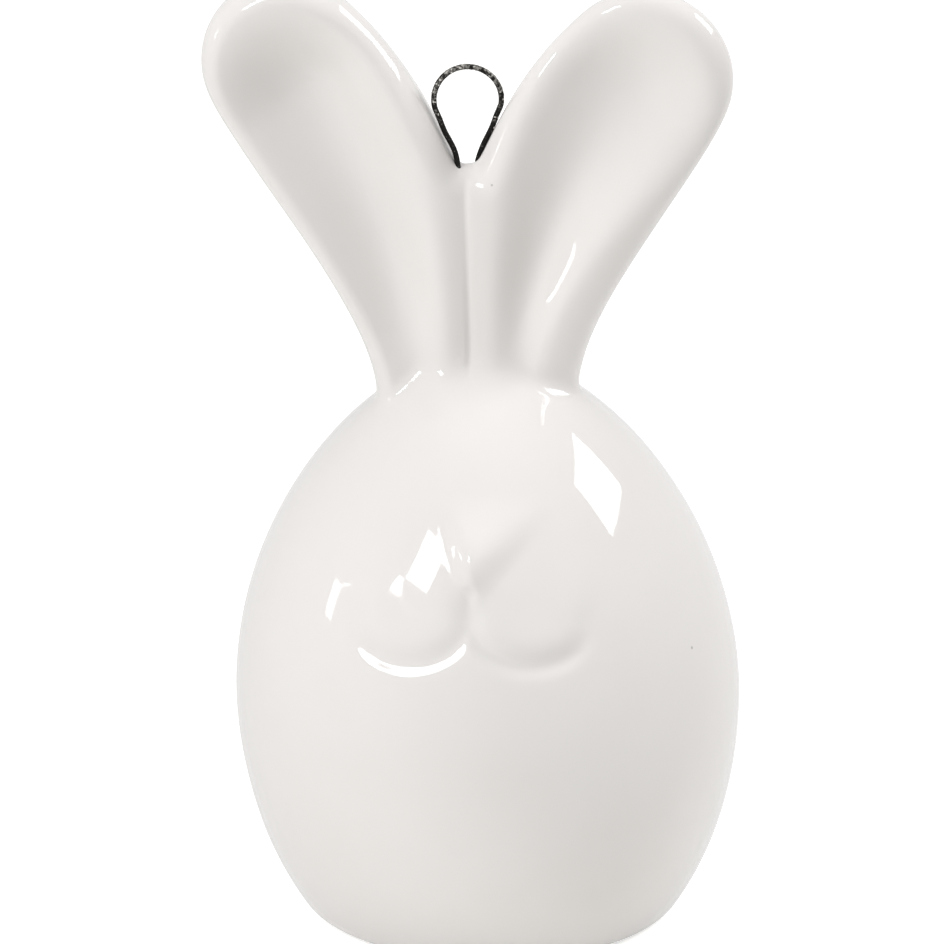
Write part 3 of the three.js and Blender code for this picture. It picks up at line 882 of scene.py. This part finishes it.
def wire_route(settings):
    """Up the front leg, round the eye and down the back leg."""
    s, e = settings.rabbit_loop, settings.rabbit_ears
    half_spacing, half_spread, half_neck, half_throat, eye_radius = (
        (clear + s.diameter) / 2 for clear in (s.leg_gap, s.leg_spread, s.neck, s.throat, s.eye)
    )
    eye_middle = e.joint_shift + s.eye_shift
    notch = CROWN + e.notch_rise
    leg_top = notch - s.leg_cover
    leg_end = leg_top - s.leg_depth

    def leg(way):
        x = e.joint_shift + way * half_spread
        y = e.plane + way * half_spacing
        return [
            (x, y + way * s.leg_hook, leg_end),
            (x, y, leg_end + 2 * s.leg_hook),
            (x, y, (leg_top + leg_end) / 2),
            (x, y, leg_top),
            (eye_middle + way * half_neck, y, notch + s.neck_rise),
            (eye_middle + way * half_throat, y, notch + s.throat_rise),
        ]

    steps = 10
    round_part = []
    for i in range(steps + 1):
        angle = math.pi + EYE_OPENING - (math.pi + 2 * EYE_OPENING) * i / steps
        x, z = eye_radius * math.cos(angle), eye_radius * math.sin(angle)
        y = e.plane + half_spacing * (2 * i / steps - 1)
        round_part.append((eye_middle + x, y, notch + s.eye_rise + z))
    return smooth_path(leg(-1) + round_part + leg(1)[::-1], 8)


def wire_tree(material, dust):
    """Sweeps a round section along a route and dusts it with specks, most at the top."""
    tree = bpy.data.node_groups.new("bent_wire", "GeometryNodeTree")
    for name, kind, way in (
        ("Geometry", "Geometry", "INPUT"), ("Diameter", "Float", "INPUT"),
        ("Sides", "Int", "INPUT"), ("Speck Size", "Float", "INPUT"),
        ("Specks per Area", "Float", "INPUT"), ("Seed", "Int", "INPUT"),
        ("Geometry", "Geometry", "OUTPUT"),
    ):
        tree.interface.new_socket(name, in_out=way, socket_type="NodeSocket" + kind)
    geometry = partial(add_node, tree, "GeometryNode")
    shader = partial(add_node, tree, "ShaderNode")
    given = add_node(tree, "Node", "GroupInput")
    radius = shader("Math", {"operation": "MULTIPLY", 0: (given, "Diameter"), 1: 0.5})
    section = geometry("CurvePrimitiveCircle", {"Resolution": (given, "Sides"), "Radius": radius})
    tube = geometry(
        "CurveToMesh", {"Fill Caps": True, "Curve": (given, "Geometry"), "Profile Curve": section}
    )
    smooth = geometry("SetShadeSmooth", {"Geometry": tube})
    metal = geometry("SetMaterial", {"Material": material, "Geometry": smooth})
    apart = shader("SeparateXYZ", {"Vector": geometry("InputPosition")})
    density = shader(
        "MapRange",
        {"From Min": SPECKS_START, "From Max": SPECKS_FULL, "To Min": 0.0,
         "To Max": (given, "Specks per Area"), "Value": (apart, "Z")},
    )
    points = geometry(
        "DistributePointsOnFaces", {"Mesh": tube, "Density": density, "Seed": (given, "Seed")}
    )
    grain = geometry("MeshIcoSphere", {"Subdivisions": 2, "Radius": (given, "Speck Size")})
    stretch = add_node(
        tree, "FunctionNode", "RandomValue",
        {"data_type": "FLOAT_VECTOR", 0: (0.3, 0.3, 0.12), 1: (0.8, 0.8, 0.3),
         "Seed": (given, "Seed")},
    )
    specks = geometry(
        "InstanceOnPoints",
        {"Points": points, "Instance": grain, "Rotation": (points, "Rotation"), "Scale": stretch},
    )
    real = geometry("RealizeInstances", {0: specks})
    flecks = geometry("SetMaterial", {"Material": dust, "Geometry": real})
    joined = geometry("JoinGeometry", {0: metal})
    tree.links.new(flecks.outputs[0], joined.inputs[0])
    add_node(tree, "Node", "GroupOutput", {0: joined})
    return tree


def wire_object(name, settings, tree, grow=0.0, sides=24, specks=True):
    """A swept wire as a plain mesh, upright. grow widens it into a tool for its socket."""
    s = settings.rabbit_loop
    curve = bpy.data.curves.new(name, "CURVE")
    curve.dimensions = "3D"
    route = wire_route(settings)
    line = curve.splines.new("POLY")
    line.points.add(len(route) - 1)
    line.points.foreach_set("co", np.column_stack([route, np.ones(len(route))]).ravel())
    source = put(name + "_route", curve)
    sweep = source.modifiers.new("sweep", "NODES")
    sweep.node_group = tree
    values = {
        "Diameter": s.diameter + 2 * grow, "Sides": sides, "Speck Size": s.speck,
        "Specks per Area": s.specks / MM ** 2 if specks else 0.0, "Seed": s.seed,
    }
    for item in tree.interface.items_tree:
        if item.in_out == "INPUT" and item.name in values:
            sweep[item.identifier] = values[item.name]
    made = put(name, evaluated_mesh(source))
    bpy.data.objects.remove(source)
    return made


def direction(azimuth, elevation):
    """The way out from the figure, in degrees. At azimuth 0 it is the way the face looks."""
    a, e = math.radians(azimuth), math.radians(elevation)
    return Vector((math.sin(a) * math.cos(e), -math.cos(a) * math.cos(e), math.sin(e)))


def softbox(name, aim, azimuth, elevation, distance, width, height, strength, turn=0.0):
    """A rectangular lamp that faces the aim. strength is the brightness of its face."""
    lamp = bpy.data.lights.new(name, "AREA")
    lamp.shape = "RECTANGLE"
    lamp.size, lamp.size_y = width, height
    lamp.energy = strength * width * height * math.pi
    made = put(name, lamp)
    away = direction(azimuth, elevation)
    made.location = aim + away * distance
    made.rotation_euler = away.to_track_quat("Z", "Y").to_euler()
    made.rotation_euler.rotate_axis("Z", math.radians(turn))
    return made


class RABBIT_OT_glazed_head(bpy.types.Operator):
    """Builds the hollow glazed head with its nose, mouth, foot and vent"""

    bl_idname = "rabbit.glazed_head"
    bl_label = "Glazed Head"
    margin = 1.5 * MM
    slip_rise = 2.6 * MM

    def execute(self, context):
        settings = context.scene
        casting = Casting(settings)
        h = casting.head
        reach = h.radius + self.margin
        top = CROWN + self.slip_rise
        head = skin_object(
            "glazed_head", casting, (-reach, -reach - MM, -MM), (reach, reach, top + MM),
            HEAD_PITCH, lambda p: p[:, 2] - top,
        )
        carve(head, ears_region(casting))
        carve(head, hollow_object(casting))
        looks = settings.rabbit_looks
        finish_ceramic(head, casting, [glaze_material(looks), biscuit_material(looks)])
        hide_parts("head_shell")
        return {"FINISHED"}


def egg_rings(casting, margin, count=72):
    """The skin of the egg, grown by a margin, from bottom to top as radius and height."""
    rings = []
    for turn in np.linspace(-math.pi / 2, math.pi / 2, count):
        reach = float(casting.profile(np.array([turn]))[0]) + margin
        rings.append((reach * math.cos(turn), casting.head.widest + reach * math.sin(turn)))
    rings[0] = (0.0, rings[0][1])
    rings[-1] = (0.0, rings[-1][1])
    return rings


def ears_region(casting):
    """All that lies above the crown, where the ears are luted on."""
    region = block("ears_region", (-FAR, -FAR, EARS_BOTTOM), (FAR, FAR, FAR))
    carve(region, turned_object("seat", egg_rings(casting, SEAT_MARGIN)))
    return region


def hollow_object(casting):
    """The drained inside of the casting with its vent through the foot."""
    h = casting.head
    corner_rise, corner_run = MM, 1.2 * MM
    wall = [(r, z) for r, z in egg_rings(casting, -h.wall, 48) if z > h.wall + corner_rise]
    floor = [(wall[0][0] - corner_run, h.wall)]
    vent = [(0, -h.wall), (h.vent, -h.wall), (h.vent, h.wall)]
    return turned_object("hollow", vent + floor + wall, 96)


class RABBIT_OT_glazed_ears(bpy.types.Operator):
    """Builds the two scooped ears, luted to the crown and to each other"""

    bl_idname = "rabbit.glazed_ears"
    bl_label = "Glazed Ears"
    start = 60 * MM
    half_width = 33 * MM
    half_depth = 7.5 * MM
    socket_gap = 0.02 * MM

    def execute(self, context):
        settings = context.scene
        casting = Casting(settings)
        e = casting.ears
        reach, depth, start = self.half_width, self.half_depth, self.start
        pair = skin_object(
            "ear_pair", casting, (-reach, -depth - MM / 2, start - MM),
            (reach, depth + MM / 2, right_high.z + MM), EAR_PITCH,
            lambda p: np.maximum(start - p[:, 2], np.abs(p[:, 1]) - depth),
        )
        carve(pair, ears_region(casting), "INTERSECT")
        tree = wire_tree(None, None)
        carve(pair, wire_object("socket", settings, tree, self.socket_gap, 16, specks=False))
        glaze = glaze_material(settings.rabbit_looks)
        for node, low, high in (
            ("right_ear", -FAR, e.joint_shift), ("left_ear", e.joint_shift, FAR)
        ):
            ear = put("glazed_" + node, pair.data.copy())
            carve(ear, block("half", (low, -FAR, 0), (high, FAR, FAR)), "INTERSECT")
            finish_ceramic(ear, casting, [glaze])
            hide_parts(node)
        bpy.data.objects.remove(pair)
        return {"FINISHED"}


class RABBIT_OT_hanging_wire(bpy.types.Operator):
    """Bends the oxidised wire loop whose legs are fired into the joint of the ears"""

    bl_idname = "rabbit.hanging_wire"
    bl_label = "Hanging Wire"

    def execute(self, context):
        settings = context.scene
        casting = Casting(settings)
        material = wire_material(settings.rabbit_looks)
        wire = wire_object("bent_wire", settings, wire_tree(material, dust_material()))
        mesh = wire.data
        mesh.vertices.foreach_set("co", casting.lean(mesh_points(mesh)).ravel())
        mesh.update()
        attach(wire, BODY)
        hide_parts("hanging_loop")
        return {"FINISHED"}


class RABBIT_OT_studio(bpy.types.Operator):
    """Adds the pale floor, the soft lamps and the camera"""

    bl_idname = "rabbit.studio"
    bl_label = "Studio"

    def execute(self, context):
        scene = context.scene
        add_floor(scene.rabbit_looks)
        light_world()
        middle = Vector((0, 0, 55 * MM))
        softbox("right_softbox", middle, 106, 37, 0.85, 0.38, 0.26, 9.5, turn=-6)
        softbox("left_softbox", middle, -37, 37, 0.85, 0.14, 0.27, 14.1, turn=-16)
        softbox("left_strip", middle, -79, 13, 0.9, 0.068, 0.115, 8.6)
        wall = softbox("left_diffuser", middle, -50, 30, 1.0, 0.5, 1.0, 1.4)
        top = softbox("overhead_diffuser", middle, 0, 88, 1.0, 0.6, 0.8, 2.1)
        for lamp in (wall, top):
            lamp.visible_glossy = False
        add_camera(scene)
        return {"FINISHED"}


def add_floor(looks):
    """A white sweep, a hair below the foot, that keeps the soft shadow of the object."""
    reach, level = 3.0, -0.02 * MM
    corners = [(x, y, level) for x, y in ((-reach, -reach), (reach, -reach), (reach, reach))]
    floor = new_object("studio_floor", corners + [(-reach, reach, level)], [(0, 1, 2, 3)])
    material, add = new_material("white_paper_sweep")
    matt = add("BsdfDiffuse", {"Color": (*looks.floor, 1)})
    glow, tent = (add("Emission", {"Color": WHITE, "Strength": share}) for share in (0.55, 0.88))
    by_ray(add, "OutputMaterial", add("AddShader", {0: matt, 1: glow}), tent, matt)
    floor.data.materials.append(material)


def by_ray(add, output, seen, mirrored, other):
    """Shows one shader to the camera, one in reflections and one to all other rays."""
    ray = add("LightPath")
    unseen = add("MixShader", {0: (ray, "Is Glossy Ray"), 1: other, 2: mirrored})
    add(output, {"Surface": add("MixShader", {0: (ray, "Is Camera Ray"), 1: unseen, 2: seen})})


def light_world():
    """A white tent: pure white behind the object, a little less in reflections and as light."""
    world = bpy.data.worlds.new("white_tent")
    bpy.context.scene.world = world
    world.use_nodes = True
    world.node_tree.nodes.clear()
    add = partial(add_node, world.node_tree, "ShaderNode")
    seen, mirrored, other = (
        add("Background", {"Color": WHITE, "Strength": share}) for share in (1.0, 0.92, 0.27)
    )
    by_ray(add, "OutputWorld", seen, mirrored, other)


def add_camera(scene):
    """The photograph's view: a long lens, a little above and to the right of the face."""
    back = direction(CAMERA_AZIMUTH, CAMERA_ELEVATION)
    lens = bpy.data.cameras.new("photo_camera")
    lens.sensor_width = 36
    lens.lens = FOCAL_PIXELS * lens.sensor_width / FRAME_WIDTH
    lens.shift_x = (FRAME_WIDTH / 2 - CENTRE_COLUMN) / FRAME_WIDTH
    lens.shift_y = (CENTRE_ROW - FRAME_WIDTH / 2) / FRAME_WIDTH
    lens.clip_start, lens.clip_end = 0.01, 20
    camera = put("photo_camera", lens)
    camera.location = Vector(CAMERA_AIM) + back * CAMERA_DISTANCE
    camera.rotation_euler = back.to_track_quat("Z", "Y").to_euler()
    scene.camera = camera
    scene.view_settings.view_transform = "Standard"


class RABBIT_PT_builder(bpy.types.Panel):
    """Lists the pieces in the sidebar of the 3D view"""

    bl_idname = "RABBIT_PT_builder"
    bl_label = "Rabbit Ornament"
    bl_space_type = "VIEW_3D"
    bl_region_type = "UI"
    bl_category = "Rabbit"

    def draw(self, context):
        layout = self.layout
        for operator in OPERATORS:
            layout.operator(operator.bl_idname)
        for group in GROUPS:
            box = layout.box()
            settings = getattr(context.scene, group)
            for name in settings.__annotations__:
                box.prop(settings, name)


OPERATORS = (
    RABBIT_OT_glazed_head, RABBIT_OT_glazed_ears, RABBIT_OT_hanging_wire, RABBIT_OT_studio
)
GROUPS = {
    "rabbit_head": RabbitHeadSizes,
    "rabbit_face": RabbitFaceSizes,
    "rabbit_ears": RabbitEarSizes,
    "rabbit_right_ear": RabbitRightEarSizes,
    "rabbit_left_ear": RabbitLeftEarSizes,
    "rabbit_loop": RabbitLoopSizes,
    "rabbit_looks": RabbitLooks,
}


def register():
    for made in (*GROUPS.values(), *OPERATORS, RABBIT_PT_builder):
        bpy.utils.register_class(made)
    for name, group in GROUPS.items():
        setattr(bpy.types.Scene, name, PointerProperty(type=group))


def unregister():
    for name in GROUPS:
        delattr(bpy.types.Scene, name)
    for made in (RABBIT_PT_builder, *OPERATORS, *GROUPS.values()):
        bpy.utils.unregister_class(made)


def main():
    register()
    bpy.ops.rabbit.studio()
    bpy.ops.rabbit.glazed_head()
    bpy.ops.rabbit.glazed_ears()
    bpy.ops.rabbit.hanging_wire()


if __name__ == "__main__":
    main()
